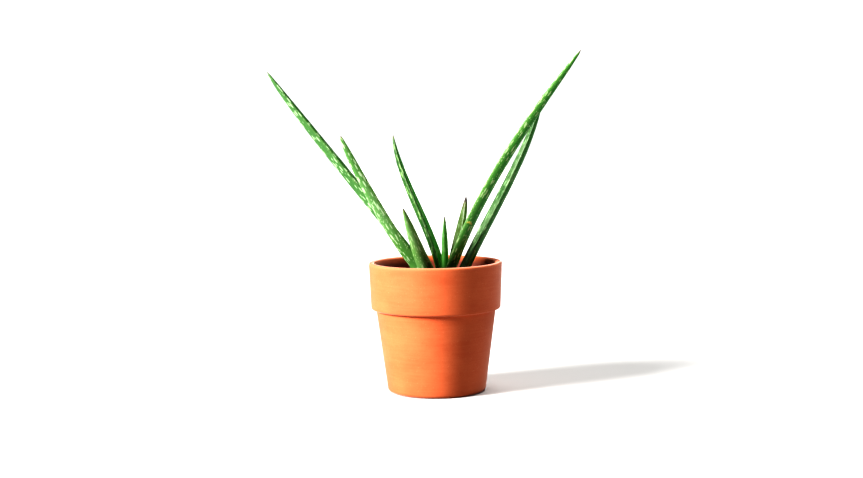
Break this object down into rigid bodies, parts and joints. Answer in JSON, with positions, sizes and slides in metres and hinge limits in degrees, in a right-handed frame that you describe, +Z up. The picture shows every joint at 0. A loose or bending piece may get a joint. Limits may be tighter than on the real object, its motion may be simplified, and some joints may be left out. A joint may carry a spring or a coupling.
{
  "type": "potted aloe plant",
  "caption": "Young aloe with slender tapering channelled leaves fanning from a short stem, in soil, in a tapered clay pot with a deep plain collar and a drain hole.",
  "frame": {"origin": "on the surface that the pot stands on, under the middle of the whole plant's bounding box; the pot's own axis stands 11.6 mm to its +X side", "axes": "+Z up, the longest extent; the fan of long leaves spreads along X; +Y points to the back and is the shortest extent"},
  "size_m": [0.3028, 0.13, 0.3281],
  "materials": {
    "clay": "unglazed fired terracotta, matt, smooth-turned",
    "soil": "dark peat and bark potting mix with a few pale grains",
    "stem": "pale fibrous stem and roots",
    "leaf": "fleshy green skin with a pale waxy bloom and long pale flecks, semi-gloss"
  },
  "bodies": {
    "root": {"pot": "clay", "soil": "soil", "stem_and_roots": "stem", "leaf_long_left": "leaf", "leaf_mid_left": "leaf", "leaf_short_left": "leaf", "leaf_tall_centre": "leaf", "leaf_small_centre": "leaf", "leaf_short_right": "leaf", "leaf_long_right": "leaf", "leaf_lower_right": "leaf"}
  },
  "joints": []
}
